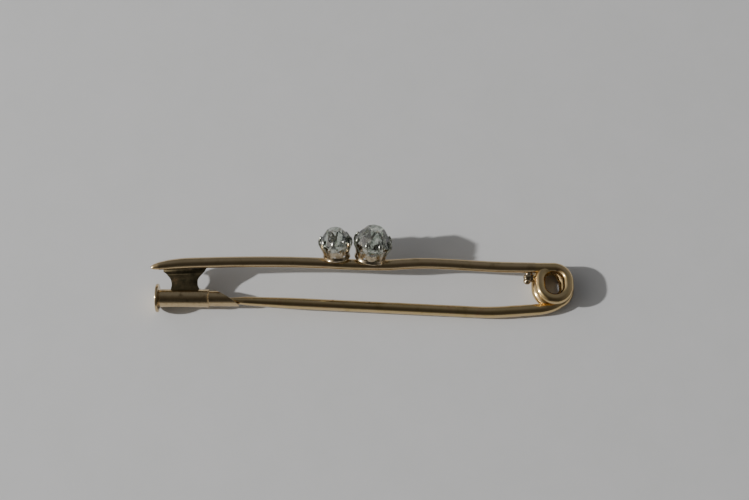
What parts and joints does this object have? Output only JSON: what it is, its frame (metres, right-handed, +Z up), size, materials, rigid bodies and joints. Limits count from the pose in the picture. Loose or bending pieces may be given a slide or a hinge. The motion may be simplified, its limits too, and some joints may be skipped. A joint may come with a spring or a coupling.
{
  "type": "bar brooch",
  "caption": "Safety-pin style bar brooch with claw-set stones, a spring coil and a pin that closes into a sliding barrel catch.",
  "frame": {"origin": "middle of the brooch's bounding box, on the table that it lies on", "axes": "+Z up from the table, +X along the brooch from the catch to the spring, +Y from the pin towards the bar and the stones"},
  "size_m": [0.0438, 0.0089, 0.0061],
  "materials": {
    "gold": "polished",
    "dark_gold": "satin",
    "silver": "polished",
    "diamond": "polished"
  },
  "bodies": {
    "brooch": {"bar": "gold", "bar_loop": "gold", "spring_stop": "gold", "catch_plate": "dark_gold", "collet_large": "silver", "collet_small": "silver", "diamond_large": "diamond", "diamond_small": "diamond"},
    "pin": {"pin": "gold"},
    "slide": {"catch_slide": "gold"}
  },
  "joints": [
    {"name": "pin_swing", "type": "hinge", "parent": "brooch", "child": "pin", "pos_m": [0.01972, -0.00087, 0.00062], "axis": [0.0198, 0.0314, 0.9993], "range_deg": [0, 28]},
    {"name": "slide_draw", "type": "slide", "parent": "brooch", "child": "slide", "axis": [-0.9998, 0, 0.0198], "range_m": [0, 0.0031]}
  ]
}
